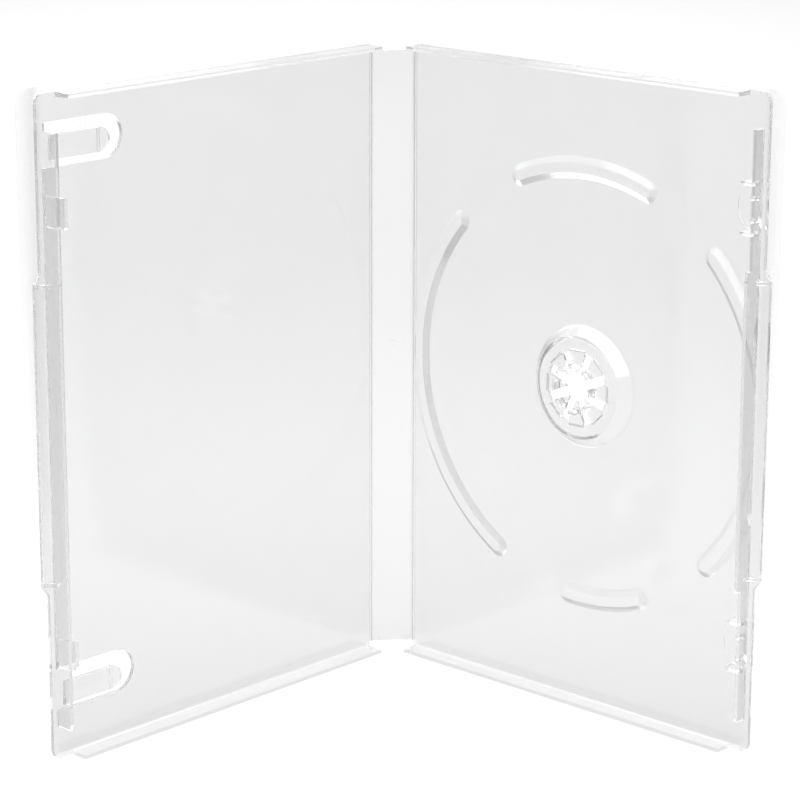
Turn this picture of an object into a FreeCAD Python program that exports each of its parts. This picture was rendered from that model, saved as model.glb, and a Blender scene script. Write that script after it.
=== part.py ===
import FreeCAD, Part
import math
import os

V = FreeCAD.Vector

# Whole case, in millimetres. It stands on its lower edges, opened like a book.
case_height = 190.0
closed_thickness = 13.7
cover_angle = 45.0  # each cover's turn from closed

# Covers, measured outward from the hinge axis
panel_thickness = 1.2
panel_reach = 131.0
panel_corner_radius = 3.0
wall_thickness = 1.2
front_wall_height = 6.9
rim_gap = 0.3  # between the two rims when shut
end_wall_height = 4.7  # the back cover's lower rim beside its latch pockets
fore_ledge = 1.4  # panel left outside the fore-edge wall
fore_wall_inset = 10.0  # from the top and bottom edges to the wall's ends
corner_opening = 4.0
wall_start = 2.2

# Thumb lip on the middle of each fore edge
lip_length = 92.0
lip_reach = 2.0
lip_slope = 3.0
gusset_thickness = 1.0
gusset_height = 3.0

# Living hinges: a bead on the spine turns in a hollow along each cover
hinge_bead_radius = 0.45
hinge_clearance = 0.05
hinge_web_thickness = 0.3
hinge_web_length = 0.95
cover_web_thickness = 0.86
cover_web_length = 1.6
spine_inset = 2.0

# Booklet clips on the front cover
clip_top_inset = 14.2
clip_bottom_inset = 20.5
clip_length = 20.4
clip_width = 7.0
clip_thickness = 1.2
clip_gap = 2.2  # room for the booklet
clip_bead_radius = 0.5
window_length = 28.0
window_width = 12.4

# Latch tabs on the front cover and their pockets on the back cover
latch_inset = 32.0
latch_length = 8.5
latch_thickness = 1.2
latch_rise = 1.6
pocket_length = 13.0
pocket_depth = 4.0
pocket_rib_thickness = 1.0
pocket_rib_drop = 0.4
pocket_pad_thickness = 0.6
nib_radius = 0.7
nib_spacing = 6.2

# Disc ring and finger scoops on the back cover
disc_reach = 68.2
disc_rise = 2.0  # disc centre above mid-height
ring_radius = 64.2  # middle of the ring's band
ring_width = 6.6
ring_crest_width = 3.0
ring_height = 1.2
scoop_angles = (57.0, 126.0, 253.0, 303.0)
scoop_half_angle = 13.0
scoop_radius = 8.5
scoop_depth = 0.6

# Disc hub: a raised seat with sloping sides and a rosette of sprung petals
hub_radius = 18.2  # where the slope meets the panel
hub_wall = 1.2
seat_radius = 15.0
seat_edge_chamfer = 0.6
seat_height = 4.6
seat_thickness = 1.1
petal_count = 8
petal_root_radius = 11.0
petal_thickness = 0.8
petal_tip_radius = 4.0
petal_slot = 2.8
petal_gap = 0.4
petal_bead_length = 5.0
petal_bead_radius = 0.45
petal_bead_clearance = 0.05
petal_end_clearance = 0.2
catch_radius = 7.4
catch_thickness = 1.1
catch_rise = 2.3
catch_hook = 0.2
catch_lead = 0.5

# Moulding mark on the spine's inner face
mark_width = 2.4
mark_length = 8.4
mark_height = 0.4
mark_dimple_radius = 0.5
mark_dimple_depth = 0.3

# Film sleeve
film_thickness = 0.15
film_reach = 135.0
film_corner_radius = 4.0
film_start = 1.2
film_bottom = 1.0
film_above = 0.8

# Worked-out sizes
axis_depth = hinge_bead_radius
hinge_half_spacing = closed_thickness / 2 - axis_depth
back_wall_height = closed_thickness - rim_gap - front_wall_height
fore_wall_outer = panel_reach - fore_ledge
fore_wall_inner = fore_wall_outer - wall_thickness
lip_edge = panel_reach + lip_reach
lip_bottom = (case_height - lip_length) / 2
lip_top = lip_bottom + lip_length
hub_height = case_height / 2 + disc_rise
hub_slope = (hub_radius - seat_radius) / (seat_height - panel_thickness)  # run for each unit of rise
seat_middle = seat_height - seat_thickness / 2
petal_step = 360.0 / petal_count
angle = math.radians(cover_angle)
rim_height = max(front_wall_height, back_wall_height)
latch_top = front_wall_height + latch_rise
front_reach = max(
    lip_edge * math.cos(angle) + (panel_thickness - axis_depth) * math.sin(angle),
    fore_wall_outer * math.cos(angle) + (rim_height - axis_depth) * math.sin(angle),
    fore_wall_inner * math.cos(angle) + (latch_top - axis_depth) * math.sin(angle),
)
back_reach = axis_depth + film_thickness
hinge_y = (front_reach - back_reach) / 2


def block(u_range, w_range, z_range):
    """Box in a cover's own frame: u outward from the hinge, w inward from the outer face, z up."""
    (u0, u1), (w0, w1), (z0, z1) = u_range, w_range, z_range
    return Part.makeBox(u1 - u0, w1 - w0, z1 - z0, V(u0, w0, z0))


def post(radius, u, z, w_range):
    """Round post that stands on the panel."""
    w0, w1 = w_range
    return Part.makeCylinder(radius, w1 - w0, V(u, w0, z), V(0, 1, 0))


def plate(points, w_range):
    """Straight-sided plate, parallel to the panel, from its corners in u and z."""
    w0, w1 = w_range
    corners = [V(u, w0, z) for u, z in points]
    return Part.Face(Part.makePolygon(corners + corners[:1])).extrude(V(0, w1 - w0, 0))


def rib(points, z_range):
    """Plate that stands across the panel, from its corners in u and w."""
    z0, z1 = z_range
    corners = [V(u, w, z0) for u, w in points]
    return Part.Face(Part.makePolygon(corners + corners[:1])).extrude(V(0, 0, z1 - z0))


def polar(radius, degrees, w):
    """Point round the disc centre, turning from u towards z."""
    turn = math.radians(degrees)
    return V(disc_reach + radius * math.cos(turn), w, hub_height + radius * math.sin(turn))


def round_corners(shape, reach, radius, heights):
    """Rounds the two fore corners of a panel or film."""
    edges = [
        e
        for e in shape.Edges
        if e.BoundBox.XLength < 1e-6
        and e.BoundBox.ZLength < 1e-6
        and abs(e.BoundBox.XMin - reach) < 1e-6
        and min(abs(e.BoundBox.ZMin - z) for z in heights) < 1e-6
    ]
    return shape.makeFillet(radius, edges)


def mirrored_heights(inset):
    """The same place measured from the bottom and from the top."""
    return (inset, case_height - inset)


def cover_panel():
    """Flat panel with its thumb lip and the hollow half of its living hinge."""
    outline = [
        (cover_web_length, 0),
        (panel_reach, 0),
        (panel_reach, lip_bottom),
        (lip_edge, lip_bottom + lip_slope),
        (lip_edge, lip_top - lip_slope),
        (panel_reach, lip_top),
        (panel_reach, case_height),
        (cover_web_length, case_height),
    ]
    panel = plate(outline, (0, panel_thickness))
    panel = round_corners(panel, panel_reach, panel_corner_radius, (0, case_height))
    web_span = (axis_depth - cover_web_thickness / 2, axis_depth + cover_web_thickness / 2)
    web = block((0, cover_web_length), web_span, (spine_inset, case_height - spine_inset))
    hollow = Part.makeCylinder(
        hinge_bead_radius + hinge_clearance, case_height, V(0, axis_depth, 0), V(0, 0, 1)
    )
    return panel.fuse(web.cut(hollow))


def end_walls(height):
    """Walls along the top and bottom edges."""
    reach = (wall_start, fore_wall_inner - corner_opening)
    bottom = block(reach, (0, height), (0, wall_thickness))
    top = block(reach, (0, height), (case_height - wall_thickness, case_height))
    return [bottom, top]


def lip_gussets():
    """Small triangular ribs where the thumb lip begins and ends."""
    profile = [
        (fore_wall_outer, panel_thickness),
        (lip_edge, panel_thickness),
        (fore_wall_outer, panel_thickness + gusset_height),
    ]
    first = lip_bottom + lip_slope
    last = lip_top - lip_slope
    return [
        rib(profile, (first, first + gusset_thickness)),
        rib(profile, (last - gusset_thickness, last)),
    ]


def clip_window(middle):
    """Cut-out in the panel behind a booklet clip, with a round inner end."""
    radius = window_width / 2
    inner = fore_wall_inner - window_length + radius
    span = (0, panel_thickness)
    straight = block((inner, fore_wall_inner), span, (middle - radius, middle + radius))
    return straight.fuse(post(radius, inner, middle, span))


def booklet_clip(middle):
    """Tongue that stands off the panel from the fore-edge wall, with a bead under its tip."""
    low = panel_thickness + clip_gap
    span = (low, low + clip_thickness)
    radius = clip_width / 2
    tip = fore_wall_inner - clip_length + radius
    tongue = block((tip, fore_wall_outer), span, (middle - radius, middle + radius))
    tongue = tongue.fuse(post(radius, tip, middle, span))
    bead = Part.makeCylinder(clip_bead_radius, clip_width, V(tip, low, middle - radius), V(0, 0, 1))
    return tongue.fuse(bead)


def latch_tab(middle):
    """Tab inside the fore-edge wall that stands past the rim."""
    half = latch_length / 2
    reach = (fore_wall_inner - latch_thickness, fore_wall_inner)
    return block(reach, (0, latch_top), (middle - half, middle + half))


def front_cover():
    cover = cover_panel()
    clip_heights = (clip_bottom_inset, case_height - clip_top_inset)
    for middle in clip_heights:
        cover = cover.cut(clip_window(middle))
    wall_span = (fore_wall_inset, case_height - fore_wall_inset)
    walls = end_walls(front_wall_height)
    walls.append(block((fore_wall_inner, fore_wall_outer), (0, front_wall_height), wall_span))
    clips = [booklet_clip(middle) for middle in clip_heights]
    tabs = [latch_tab(middle) for middle in mirrored_heights(latch_inset)]
    return cover.multiFuse(walls + lip_gussets() + clips + tabs).removeSplitter()


def latch_pocket(middle):
    """Two ribs, a half-moon pad and two half-round nibs that take one latch tab."""
    rib_top = end_wall_height - pocket_rib_drop
    half = pocket_length / 2
    reach = (fore_wall_inner - pocket_depth, fore_wall_inner)
    pieces = []
    for low in (middle - half - pocket_rib_thickness, middle + half):
        pieces.append(block(reach, (0, rib_top), (low, low + pocket_rib_thickness)))
    pad_span = (0, panel_thickness + pocket_pad_thickness)
    moon = post(half, fore_wall_inner, middle, pad_span)
    bay = block((fore_wall_inner - half, fore_wall_inner), pad_span, (middle - half, middle + half))
    pieces.append(moon.common(bay))
    for side in (-1, 1):
        nib_place = middle + side * nib_spacing / 2
        pieces.append(post(nib_radius, fore_wall_inner, nib_place, (0, rib_top)))
    return pieces


def ring_outline(start, end, width, w):
    """Outline of one arc of the disc ring, with rounded ends."""
    inner = ring_radius - width / 2
    outer = ring_radius + width / 2
    cap = math.degrees(width / 2 / ring_radius)
    middle = (start + end) / 2
    edges = [
        Part.Arc(polar(outer, start, w), polar(outer, middle, w), polar(outer, end, w)),
        Part.Arc(polar(outer, end, w), polar(ring_radius, end + cap, w), polar(inner, end, w)),
        Part.Arc(polar(inner, end, w), polar(inner, middle, w), polar(inner, start, w)),
        Part.Arc(polar(inner, start, w), polar(ring_radius, start - cap, w), polar(outer, start, w)),
    ]
    return Part.Wire([arc.toShape() for arc in edges])


def ring_arc(start, end):
    """One arc of the disc ring: a low band with sloping sides."""
    crest = panel_thickness + ring_height
    outlines = [
        ring_outline(start, end, ring_width, panel_thickness),
        ring_outline(start, end, ring_crest_width, crest),
    ]
    band = Part.makeLoft(outlines, True, True)
    inside = block((wall_start, fore_wall_inner), (0, crest), (0, case_height))
    return band.common(inside)


def disc_ring():
    """Ring round the disc, open at the finger scoops."""
    arcs = []
    for first, second in zip(scoop_angles, scoop_angles[1:] + (scoop_angles[0] + 360.0,)):
        arcs.append(ring_arc(first + scoop_half_angle, second - scoop_half_angle))
    return arcs


def finger_scoop(degrees):
    """Shallow dish where a finger reaches the disc's edge."""
    ball_radius = (scoop_radius**2 + scoop_depth**2) / (2 * scoop_depth)
    centre = polar(ring_radius, degrees, panel_thickness - scoop_depth + ball_radius)
    return Part.makeSphere(ball_radius, centre)


def hub_cone(inset, w_range):
    """Cone along the hub's slope, or within it by an inset."""
    w0, w1 = w_range
    shift = inset * math.hypot(1, hub_slope)
    radii = [hub_radius - (w - panel_thickness) * hub_slope - shift for w in w_range]
    return Part.makeCone(radii[0], radii[1], w1 - w0, V(disc_reach, w0, hub_height), V(0, 1, 0))


def hub_hollow():
    """Space under the seat, open to the back."""
    return hub_cone(hub_wall, (0, seat_height - seat_thickness))


def hub_seat():
    """Raised round seat on a sloping wall, with a groove for each petal's root."""
    seat = hub_cone(0, (panel_thickness, seat_height))
    rim = [e for e in seat.Edges if len(e.Vertexes) == 1 and abs(e.BoundBox.YMin - seat_height) < 1e-6]
    seat = seat.makeChamfer(seat_edge_chamfer, rim)
    seat = seat.cut(hub_hollow())
    seat = seat.cut(post(petal_root_radius, disc_reach, hub_height, (0, seat_height)))
    groove_length = petal_bead_length + 2 * petal_end_clearance
    cutters = petal_beads(petal_bead_radius + petal_bead_clearance, groove_length)
    cutters += petal_necks(petal_root_radius / 2, seat_thickness, groove_length)
    return seat.cut(cutters[0].multiFuse(cutters[1:]))


def petal_beads(radius, length):
    """Straight rods along the petals' root axes."""
    rods = []
    for index in range(petal_count):
        turn = math.radians(index * petal_step)
        along = V(-math.sin(turn), 0, math.cos(turn))
        start = polar(petal_root_radius, index * petal_step, seat_middle) - along * (length / 2)
        rods.append(Part.makeCylinder(radius, length, start, along))
    return rods


def petal_necks(depth, thickness, length):
    """Flat blocks that reach inward from the petals' root axes."""
    low = seat_middle - thickness / 2
    corner = V(disc_reach + petal_root_radius - depth, low, hub_height - length / 2)
    necks = []
    for index in range(petal_count):
        neck = Part.makeBox(depth, thickness, length, corner)
        neck.rotate(V(disc_reach, 0, hub_height), V(0, -1, 0), index * petal_step)
        necks.append(neck)
    return necks


def hub_petals():
    """Sprung petals: a flat blade with a catch for the disc, on a round root."""
    low = seat_middle - petal_thickness / 2
    top = seat_middle + petal_thickness / 2
    catch_top = seat_height + catch_rise
    hook_level = catch_top - catch_lead
    profile = [
        (petal_tip_radius, low),
        (petal_root_radius - petal_gap, low),
        (petal_root_radius - petal_gap, top),
        (catch_radius, top),
        (catch_radius, hook_level - catch_hook),
        (catch_radius + catch_hook, hook_level),
        (catch_radius - catch_lead, catch_top),
        (catch_radius - catch_thickness, catch_top),
        (catch_radius - catch_thickness, top),
        (petal_tip_radius, top),
    ]
    corners = [V(disc_reach + r, w, hub_height) for r, w in profile]
    face = Part.Face(Part.makePolygon(corners + corners[:1]))
    rosette = face.revolve(V(disc_reach, 0, hub_height), V(0, 1, 0), 360)
    half = petal_step / 2
    apex = petal_slot / 2 / math.sin(math.radians(half))
    beads = petal_beads(petal_bead_radius, petal_bead_length)
    necks = petal_necks(2 * petal_gap, petal_thickness, petal_bead_length)
    petals = []
    for index in range(petal_count):
        turn = index * petal_step
        point = polar(apex, turn, 0)
        sides = [polar(2 * petal_root_radius, turn + s * half, 0) - polar(0, 0, 0) for s in (-1, 1)]
        corners = [(p.x, p.z) for p in (point, point + sides[0], point + sides[1])]
        blade = rosette.common(plate(corners, (0, catch_top)))
        petals.append(blade.multiFuse([necks[index], beads[index]]).removeSplitter())
    return petals


def back_cover():
    cover = cover_panel()
    cover = cover.cut(hub_hollow())
    for degrees in scoop_angles:
        cover = cover.cut(finger_scoop(degrees))
    walls = end_walls(back_wall_height)
    fore = (fore_wall_inner, fore_wall_outer)
    walls.append(block(fore, (0, end_wall_height), (fore_wall_inset, case_height - fore_wall_inset)))
    walls.append(block(fore, (0, back_wall_height), (lip_bottom, lip_top)))
    pockets = [piece for middle in mirrored_heights(latch_inset) for piece in latch_pocket(middle)]
    pieces = walls + lip_gussets() + pockets + disc_ring() + [hub_seat()]
    return cover.multiFuse(pieces).removeSplitter()


def cover_film():
    """One cover's share of the film sleeve, on the panel's outer face."""
    top = case_height + film_above
    film = block((film_start, film_reach), (-film_thickness, 0), (film_bottom, top))
    return round_corners(film, film_reach, film_corner_radius, (film_bottom, top))


def spine_mark():
    """Low oblong mark, half-way up the spine's inner face, with a dimple near its top."""
    radius = mark_width / 2
    straight = mark_length / 2 - radius
    middle = case_height / 2
    crest = panel_thickness + mark_height
    span = (0, crest)
    mark = block((-radius, radius), span, (middle - straight, middle + straight))
    ends = [post(radius, 0, middle + side * straight, span) for side in (-1, 1)]
    dimple = post(mark_dimple_radius, 0, middle + straight, (crest - mark_dimple_depth, crest))
    return mark.multiFuse(ends).cut(dimple)


def spine():
    """Strip between the covers, with a web and a bead along each hinge."""
    body_half = hinge_half_spacing - hinge_web_length
    heights = (spine_inset, case_height - spine_inset)
    strip = block((-body_half, body_half), (0, panel_thickness), heights)
    web_span = (axis_depth - hinge_web_thickness / 2, axis_depth + hinge_web_thickness / 2)
    webs = block((-hinge_half_spacing, hinge_half_spacing), web_span, heights)
    beads = [
        Part.makeCylinder(
            hinge_bead_radius, heights[1] - heights[0], V(x, axis_depth, heights[0]), V(0, 0, 1)
        )
        for x in (-hinge_half_spacing, hinge_half_spacing)
    ]
    return strip.multiFuse([webs, spine_mark()] + beads).removeSplitter()


def spine_film():
    half = hinge_half_spacing - film_start
    return block((-half, half), (-film_thickness, 0), (film_bottom, case_height + film_above))


def place_cover(shape, side):
    """Stands a cover in the case: side -1 is the front cover on the left, 1 the back cover."""
    placed = shape.copy()
    placed.translate(V(0, -axis_depth, 0))
    if side > 0:
        placed = placed.mirror(V(0, 0, 0), V(0, 1, 0))
    placed.rotate(V(0, 0, 0), V(0, 0, 1), side * cover_angle - 90.0)
    placed.translate(V(side * hinge_half_spacing, hinge_y, 0))
    return placed


def place_spine(shape):
    """Turns the strip's inner face to the front and sets its beads on the hinge axes."""
    placed = shape.copy()
    placed.translate(V(0, -axis_depth, 0))
    placed.rotate(V(0, 0, 0), V(0, 0, 1), 180.0)
    placed.translate(V(0, hinge_y, 0))
    return placed


nodes = {
    "front_cover": place_cover(front_cover(), -1),
    "sleeve_front": place_cover(cover_film(), -1),
    "spine": place_spine(spine()),
    "sleeve_spine": place_spine(spine_film()),
    "back_cover": place_cover(back_cover(), 1),
    "sleeve_back": place_cover(cover_film(), 1),
}
for number, petal in enumerate(hub_petals(), start=1):
    nodes[f"hub_petal_{number}"] = place_cover(petal, 1)

os.makedirs("parts", exist_ok=True)
for name, shape in nodes.items():
    shape.exportStep(f"parts/{name}.step")
    print(name, shape.isValid(), len(shape.Solids), round(shape.Volume, 1))
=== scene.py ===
import math

import bpy
from mathutils import Matrix, Vector, noise


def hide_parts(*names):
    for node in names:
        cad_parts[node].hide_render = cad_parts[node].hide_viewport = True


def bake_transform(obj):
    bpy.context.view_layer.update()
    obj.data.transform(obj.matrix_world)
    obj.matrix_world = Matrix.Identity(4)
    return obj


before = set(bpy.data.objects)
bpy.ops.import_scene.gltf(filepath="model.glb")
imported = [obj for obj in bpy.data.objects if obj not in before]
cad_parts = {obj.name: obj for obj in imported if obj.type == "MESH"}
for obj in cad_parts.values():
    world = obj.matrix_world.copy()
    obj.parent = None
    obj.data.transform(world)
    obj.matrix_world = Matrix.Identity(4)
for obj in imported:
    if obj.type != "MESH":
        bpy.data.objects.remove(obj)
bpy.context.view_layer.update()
scene = bpy.context.scene

# Sides of the case, as signs of X
FRONT = -1
BACK = 1

# Sizes in metres, as in the part's source
HINGE_X = 0.0064
HINGE_Y = 0.0479424
AXIS_DEPTH = 0.00045
FORE_WALL_REACH = 0.1296
FILM_THICKNESS = 0.00015
FILM_BOTTOM = 0.001
FILM_TOP = 0.1908
FILM_CORNER = 0.004
TURN = math.radians(45)

# The film on each cover: its reach from the hinge low down and what it gains between two heights, the lift
# of its flared edge, the rise of its top edge, and the share of painted shade in its free margin
FILM_FORM = {
    FRONT: {"reach": 0.1328, "gain": 0.0027, "gain_heights": (0.03, 0.075),
            "lift": 0.0016, "rise": 0.0008, "shade": 1.0},
    BACK: {"reach": 0.1340, "gain": 0.0008, "gain_heights": (0.02, 0.12),
           "lift": 0.0006, "rise": 0.0, "shade": 0.6},
}

# How the film lies, in metres, with ripples per metre
FILM_GAP = 0.0001
SLACK_LIFT = 0.0003
SLACK_WIDTH = 0.004
RIPPLE_LIFT = 0.00012
RIPPLES_ALONG = 38
RIPPLES_UP = 30
RIPPLE_SEED = 7.3
RIPPLE_GROWTH = (0.003, 0.02)
FLARE_GROWTH = (0.122, 0.136)
FLARE_LEAST_SHARE = 0.35
FLARE_HEIGHTS = (0.04, 0.17)
RISE_GROWTH = (0.02, 0.13)
# Painted shade in the film's free margin: where it starts before the fore wall, how much it fades outward,
# and the heights over which it grows from the bottom
MARGIN_START = 0.001
MARGIN_FADE = 0.9
MARGIN_HEIGHTS = (0.04, 0.1)

# Steps of the film's grid, and how far they gather towards its edges
SPINE_STEPS = 6
BEND_STEPS = 6
COVER_STEPS = 44
COVER_GATHER = 0.75
HEIGHT_STEPS = 64
HEIGHT_GATHER = 0.9
SHARP_ANGLE = math.radians(40)

# Looks of the plastic, the floor and the world
# Name of the mesh attribute that carries the share of painted shade in the film's margin
MARGIN = "painted_shade_share"
PLASTIC_IOR = 1.49
PLASTIC_CLEAR = 0.96
TRAPPED_DEPTH = 4
FLOW_LOW = 0.3
FLOW_HIGH = 0.7
FLOOR_WHITE = 0.96
FLOOR_SEEN = 0.5
FLOOR_HALF_WIDTH = 6.0
WORLD_DIM = 0.18
WORLD_SEEN = 1.0

# Camera, fitted to the case's corners in the photo: millimetres, metres and degrees
CAMERA_LENS = 134.786
CAMERA_SENSOR = 36
CAMERA_NEAR = 0.05
CAMERA_PLACE = (-0.02910, -0.84091, 0.31835)
CAMERA_PAN = -2.027
CAMERA_DIP = 14.996
CAMERA_ROLL = 0.171


# Nodes

def grey(level):
    return (level, level, level, 1)


def new_material(name):
    material = bpy.data.materials.new(name)
    material.use_nodes = True
    material.node_tree.nodes.clear()
    return material


def node(tree, kind, inputs=(), **settings):
    """New node, with values for its inputs and for its own settings."""
    made = tree.nodes.new(kind)
    for key, value in settings.items():
        setattr(made, key, value)
    for key, value in dict(inputs).items():
        made.inputs[key].default_value = value
    return made


def surface_noise(tree, inputs):
    """Noise that is fixed to the piece."""
    coords = node(tree, "ShaderNodeTexCoord")
    field = node(tree, "ShaderNodeTexNoise", inputs)
    tree.links.new(coords.outputs["Object"], field.inputs["Vector"])
    return field.outputs["Fac"]


def mix_shaders(tree, factor, first, second):
    """The first shader where the factor is 0, and the second where it is 1."""
    mix = node(tree, "ShaderNodeMixShader")
    tree.links.new(factor, mix.inputs["Fac"])
    tree.links.new(first, mix.inputs[1])
    tree.links.new(second, mix.inputs[2])
    return mix.outputs["Shader"]


def end_tree(tree, kind, shader):
    out = node(tree, kind)
    tree.links.new(shader, out.inputs["Surface"])


# Clear plastic and film

def flow_tint(tree, flow, tint):
    """Colour that runs between two tints with the flow marks."""
    ramp = node(tree, "ShaderNodeValToRGB")
    for stop, place, shade in zip(ramp.color_ramp.elements, (FLOW_LOW, FLOW_HIGH), tint):
        stop.position = place
        stop.color = (*shade, 1)
    tree.links.new(flow, ramp.inputs["Fac"])
    return ramp.outputs["Color"]


def flow_satin(tree, flow, least, most):
    """Roughness that varies with the flow marks."""
    satin = node(tree, "ShaderNodeMapRange", {
        "From Min": FLOW_LOW, "From Max": FLOW_HIGH, "To Min": least, "To Max": most})
    tree.links.new(flow, satin.inputs["Value"])
    return satin.outputs["Result"]


def darken_with_painted_shade(tree, colour, shade):
    """The colour, darkened by painted shade in the film's free margin."""
    margin = node(tree, "ShaderNodeAttribute", attribute_name=MARGIN)
    shaded = node(tree, "ShaderNodeMix", data_type="RGBA", blend_type="MULTIPLY")
    # A colour mix takes its factor and its two colours in sockets 0, 6 and 7, and gives its result in 2
    shaded.inputs[7].default_value = grey(shade)
    tree.links.new(margin.outputs["Fac"], shaded.inputs[0])
    tree.links.new(colour, shaded.inputs[6])
    return shaded.outputs[2]


def straight_factor(tree):
    """1 for rays to a lamp and for rays caught in thin walls, which go straight on, and 0 for the rest."""
    path = node(tree, "ShaderNodeLightPath")
    trapped = node(tree, "ShaderNodeMath", {1: TRAPPED_DEPTH}, operation="GREATER_THAN")
    tree.links.new(path.outputs["Ray Depth"], trapped.inputs[0])
    straight = node(tree, "ShaderNodeMath", operation="MAXIMUM")
    tree.links.new(path.outputs["Is Shadow Ray"], straight.inputs[0])
    tree.links.new(trapped.outputs["Value"], straight.inputs[1])
    return straight.outputs["Value"]


def clear_material(name, tint, clear, roughness, wave, lamp_tint, painted_shade_grey=None):
    """Glass with a little haze, flow marks and waves, which lamps shine through."""
    material = new_material(name)
    tree = material.node_tree
    least_rough, most_rough = roughness
    wave_scale, wave_strength, wave_distance = wave
    body = node(tree, "ShaderNodeBsdfPrincipled", {
        "IOR": PLASTIC_IOR, "Transmission Weight": clear, "Roughness": least_rough})
    flow = surface_noise(tree, {"Scale": 22.0, "Detail": 3.0, "Roughness": 0.55})
    colour = flow_tint(tree, flow, tint)
    # Painted shade: the colour is darkened in the film's free margin
    if painted_shade_grey:
        colour = darken_with_painted_shade(tree, colour, painted_shade_grey)
    tree.links.new(colour, body.inputs["Base Color"])
    if most_rough > least_rough:
        satin = flow_satin(tree, flow, least_rough, most_rough)
        tree.links.new(satin, body.inputs["Roughness"])
    bump = node(tree, "ShaderNodeBump", {"Strength": wave_strength, "Distance": wave_distance})
    waves = surface_noise(tree, {"Scale": wave_scale, "Detail": 1.0})
    tree.links.new(waves, bump.inputs["Height"])
    tree.links.new(bump.outputs["Normal"], body.inputs["Normal"])
    through = node(tree, "ShaderNodeBsdfTransparent", {"Color": grey(lamp_tint)})
    shader = mix_shaders(tree, straight_factor(tree), body.outputs["BSDF"], through.outputs["BSDF"])
    end_tree(tree, "ShaderNodeOutputMaterial", shader)
    return material


plastic_material = clear_material(
    "clear_plastic",
    tint=((0.855, 0.856, 0.858), (0.865, 0.866, 0.867)),
    clear=PLASTIC_CLEAR,
    roughness=(0.05, 0.12),
    wave=(60.0, 0.1, 0.0004),
    lamp_tint=0.8,
)
film_material = clear_material(
    "clear_film",
    tint=((0.993, 0.994, 0.995), (0.998, 0.999, 0.999)),
    clear=1.0,
    roughness=(0.0, 0.0),
    wave=(40.0, 0.15, 0.0005),
    lamp_tint=0.93,
    # Painted shade darkens the film's free margin towards this grey
    painted_shade_grey=0.84,
)


# Moulded pieces

for name in ("front_cover", "back_cover", "spine", *(f"hub_petal_{k}" for k in range(1, 9))):
    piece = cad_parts[name]
    piece.data.materials.clear()
    piece.data.materials.append(plastic_material)


# Film sleeve: one sheet round each hinge, from mid-spine to past the fore edge

def smooth(value, low, high):
    """Eases from 0 to 1 as the value goes from low to high."""
    way = min(max((value - low) / (high - low), 0.0), 1.0)
    return way * way * (3 - 2 * way)


def spread(count, gather):
    """Steps from 0 to 1, drawn together towards both ends."""
    steps = [i / count for i in range(count + 1)]
    return [step - gather * math.sin(2 * math.pi * step) / (2 * math.pi) for step in steps]


def fore_reach(z, side):
    """How far the film reaches from the hinge at this height, with its rounded corners."""
    form = FILM_FORM[side]
    reach = form["reach"] + form["gain"] * smooth(z, *form["gain_heights"])
    for edge, inward in ((FILM_TOP, -1), (FILM_BOTTOM, 1)):
        into = FILM_CORNER - inward * (z - edge)
        if into > 0:
            reach -= FILM_CORNER - math.sqrt(max(FILM_CORNER**2 - into**2, 0.0))
    return reach


def stand_off(run, z, side):
    """The film's distance from the outer face: slack at the hinge, slight waves and a flared edge.

    run is measured from the hinge, and is negative on the spine.
    """
    on_cover = max(run, 0.0)
    slack = SLACK_LIFT * math.exp(-((run / SLACK_WIDTH) ** 2))
    place = Vector((on_cover * RIPPLES_ALONG * side, RIPPLE_SEED * side, z * RIPPLES_UP))
    ripple = RIPPLE_LIFT * (1 + noise.noise(place)) * smooth(abs(run), *RIPPLE_GROWTH)
    share = FLARE_LEAST_SHARE + (1 - FLARE_LEAST_SHARE) * smooth(z, *FLARE_HEIGHTS)
    flare = FILM_FORM[side]["lift"] * smooth(on_cover, *FLARE_GROWTH) * share
    return FILM_GAP + slack + ripple + flare


def painted_shade_share(column, z, side):
    """Share of painted shade in the film's free margin past the fore wall: it fades outward and towards the
    bottom.
    """
    zone, way = column
    if zone != "cover":
        return 0.0
    reach = fore_reach(z, side)
    run = reach * way
    fade = 1 - MARGIN_FADE * smooth(run, FORE_WALL_REACH, reach)
    start = smooth(run, FORE_WALL_REACH - MARGIN_START, FORE_WALL_REACH)
    return FILM_FORM[side]["shade"] * fade * start * smooth(z, *MARGIN_HEIGHTS)


def film_point(column, z, side):
    """Point on the film's middle surface and its outward direction.

    A column of the grid is a zone of the film and the way through it, from 0 to 1.
    """
    zone, way = column
    base = AXIS_DEPTH + FILM_THICKNESS / 2
    if zone == "spine":
        x = HINGE_X * way
        out = Vector((0, 1, 0))
        off = base + stand_off(x - HINGE_X, z, side)
        return Vector((side * x, HINGE_Y, z)) + out * off, out
    turn = TURN * (way if zone == "bend" else 1.0)
    run = fore_reach(z, side) * way if zone == "cover" else 0.0
    out = Vector((side * math.sin(turn), math.cos(turn), 0))
    along = Vector((side * math.cos(TURN), -math.sin(TURN), 0))
    off = base + stand_off(run, z, side)
    z += FILM_FORM[side]["rise"] * smooth(run, *RISE_GROWTH) * z / FILM_TOP
    return Vector((side * HINGE_X, HINGE_Y, z)) + along * run + out * off, out


def sheet_faces(wide, tall):
    """Faces of a closed sheet: the outer grid, the inner grid after it, and the rim that joins them."""
    count = wide * tall
    faces = []
    for row in range(tall - 1):
        for col in range(wide - 1):
            corner = row * wide + col
            quad = (corner, corner + 1, corner + wide + 1, corner + wide)
            faces.append(quad)
            faces.append(tuple(count + i for i in reversed(quad)))
    rim = list(range(wide))
    rim += [row * wide + wide - 1 for row in range(1, tall)]
    rim += [(tall - 1) * wide + col for col in range(wide - 2, -1, -1)]
    rim += [row * wide for row in range(tall - 2, 0, -1)]
    for here, after in zip(rim, rim[1:] + rim[:1]):
        faces.append((after, here, count + here, count + after))
    return faces


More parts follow.
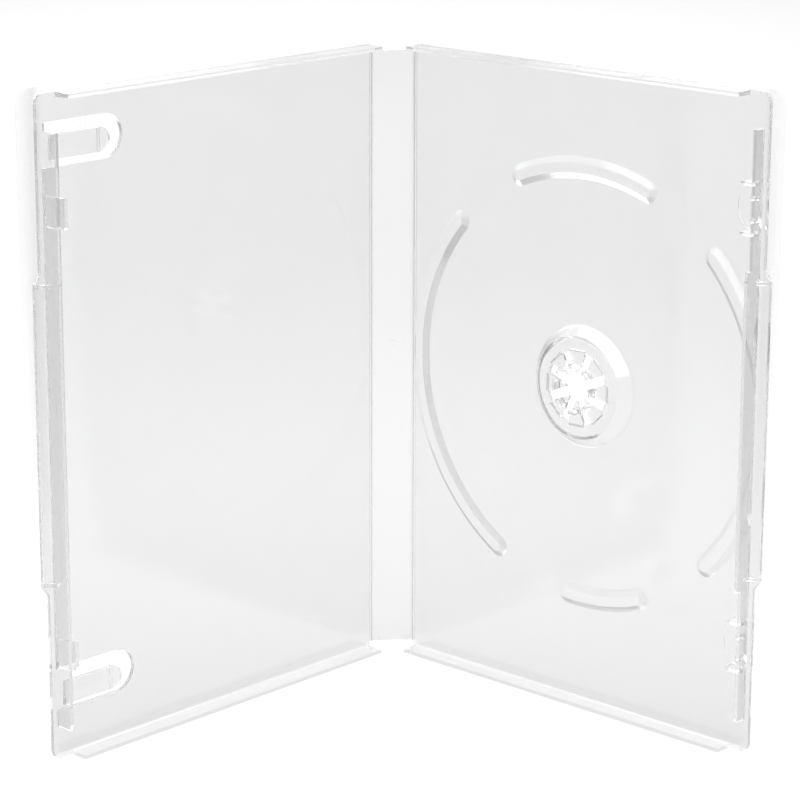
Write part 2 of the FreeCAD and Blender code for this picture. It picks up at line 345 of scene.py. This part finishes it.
def film_sheet(name, side):
    columns = [("spine", i / SPINE_STEPS) for i in range(SPINE_STEPS)]
    columns += [("bend", i / BEND_STEPS) for i in range(BEND_STEPS)]
    columns += [("cover", way) for way in spread(COVER_STEPS, COVER_GATHER)]
    film_height = FILM_TOP - FILM_BOTTOM
    heights = [FILM_BOTTOM + film_height * way for way in spread(HEIGHT_STEPS, HEIGHT_GATHER)]
    outer, inner, margin = [], [], []
    for z in heights:
        for column in columns:
            point, out = film_point(column, z, side)
            outer.append(point + out * (FILM_THICKNESS / 2))
            inner.append(point - out * (FILM_THICKNESS / 2))
            margin.append(painted_shade_share(column, z, side))
    faces = sheet_faces(len(columns), len(heights))
    if side == BACK:
        faces = [tuple(reversed(face)) for face in faces]
    mesh = bpy.data.meshes.new(name)
    mesh.from_pydata(outer + inner, [], faces)
    # The share of painted shade goes to both faces of the sheet
    mesh.attributes.new(MARGIN, "FLOAT", "POINT").data.foreach_set("value", margin + margin)
    mesh.polygons.foreach_set("use_smooth", [True] * len(mesh.polygons))
    mesh.set_sharp_from_angle(angle=SHARP_ANGLE)
    mesh.update()
    mesh.materials.append(film_material)
    sheet = bpy.data.objects.new(name, mesh)
    scene.collection.objects.link(sheet)
    return sheet


film_front = film_sheet("film_front", FRONT)
film_back = film_sheet("film_back", BACK)
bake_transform(film_front)
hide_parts("sleeve_front", "sleeve_spine")
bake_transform(film_back)
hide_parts("sleeve_back")


# Floor and world

def seen_factor(tree):
    """1 for what is seen, straight or by way of clear plastic, and 0 for light on its way to the object."""
    path = node(tree, "ShaderNodeLightPath")
    both = node(tree, "ShaderNodeMath", operation="ADD")
    seen = node(tree, "ShaderNodeMath", operation="ADD", use_clamp=True)
    tree.links.new(path.outputs["Is Camera Ray"], both.inputs[0])
    tree.links.new(path.outputs["Is Glossy Ray"], both.inputs[1])
    tree.links.new(both.outputs["Value"], seen.inputs[0])
    tree.links.new(path.outputs["Is Transmission Ray"], seen.inputs[1])
    return seen.outputs["Value"]


def floor_white():
    """Matte white that takes the shadow, with a share of plain white where it is seen."""
    material = new_material("floor_white")
    tree = material.node_tree
    matte = node(tree, "ShaderNodeBsdfDiffuse", {"Color": grey(FLOOR_WHITE)})
    white = node(tree, "ShaderNodeEmission", {"Color": grey(1), "Strength": 1.0})
    share = node(tree, "ShaderNodeMath", {1: FLOOR_SEEN}, operation="MULTIPLY")
    tree.links.new(seen_factor(tree), share.inputs[0])
    shader = mix_shaders(tree, share.outputs["Value"], matte.outputs["BSDF"], white.outputs["Emission"])
    end_tree(tree, "ShaderNodeOutputMaterial", shader)
    material.cycles.emission_sampling = "NONE"
    return material


def sweep_profile(front, back, rise, radius, steps):
    """Floor that curves up into a backdrop, from front to top, as points in Y and Z."""
    points = [(front, 0.0), (back - radius, 0.0)]
    for step in range(1, steps + 1):
        turn = math.radians(90 * step / steps)
        points.append((back - radius + radius * math.sin(turn), radius - radius * math.cos(turn)))
    return points + [(back, rise)]


def sweep_floor():
    profile = sweep_profile(front=-6.0, back=2.8, rise=2.4, radius=0.8, steps=8)
    points = [(x, y, z) for y, z in profile for x in (-FLOOR_HALF_WIDTH, FLOOR_HALF_WIDTH)]
    faces = [(2 * i, 2 * i + 1, 2 * i + 3, 2 * i + 2) for i in range(len(profile) - 1)]
    mesh = bpy.data.meshes.new("floor")
    mesh.from_pydata(points, [], faces)
    mesh.polygons.foreach_set("use_smooth", [True] * len(faces))
    mesh.materials.append(floor_white())
    sweep = bpy.data.objects.new("floor", mesh)
    scene.collection.objects.link(sweep)
    return sweep


def studio_world():
    """Dim as a light on the object, and white where it is seen."""
    world = bpy.data.worlds.new("studio")
    world.use_nodes = True
    tree = world.node_tree
    tree.nodes.clear()
    dim = node(tree, "ShaderNodeBackground", {"Color": grey(WORLD_DIM)})
    pale = node(tree, "ShaderNodeBackground", {"Color": grey(WORLD_SEEN)})
    shader = mix_shaders(tree, seen_factor(tree), dim.outputs["Background"], pale.outputs["Background"])
    end_tree(tree, "ShaderNodeOutputWorld", shader)
    return world


floor = sweep_floor()
scene.world = studio_world()


# Lamps and camera

def area_lamp(name, place, size, power):
    """Soft rectangular lamp that faces straight down."""
    data = bpy.data.lights.new(name, "AREA")
    data.shape = "RECTANGLE"
    data.size, data.size_y = size
    data.energy = power
    lamp = bpy.data.objects.new(name, data)
    lamp.location = place
    scene.collection.objects.link(lamp)


def photo_camera():
    camera = bpy.data.objects.new("camera", bpy.data.cameras.new("camera"))
    camera.data.lens = CAMERA_LENS
    camera.data.sensor_width = CAMERA_SENSOR
    camera.data.clip_start = CAMERA_NEAR
    camera.location = CAMERA_PLACE
    aim = Matrix.Rotation(math.radians(CAMERA_PAN), 3, "Z")
    aim = aim @ Matrix.Rotation(math.radians(90 - CAMERA_DIP), 3, "X")
    aim = aim @ Matrix.Rotation(math.radians(CAMERA_ROLL), 3, "Z")
    camera.rotation_euler = aim.to_euler()
    scene.collection.objects.link(camera)
    return camera


area_lamp("overhead", place=(0, -0.35, 0.35), size=(0.3, 1.5), power=3.8)
area_lamp("back", place=(0, 1.15, 0.5), size=(1.4, 1.6), power=9.2)
scene.camera = photo_camera()


# Light paths and colours of the render

scene.view_settings.view_transform = "Standard"
scene.cycles.max_bounces = 8
scene.cycles.transmission_bounces = 8
scene.cycles.diffuse_bounces = 1
scene.cycles.glossy_bounces = 6
scene.cycles.transparent_max_bounces = 16
scene.cycles.use_light_tree = False
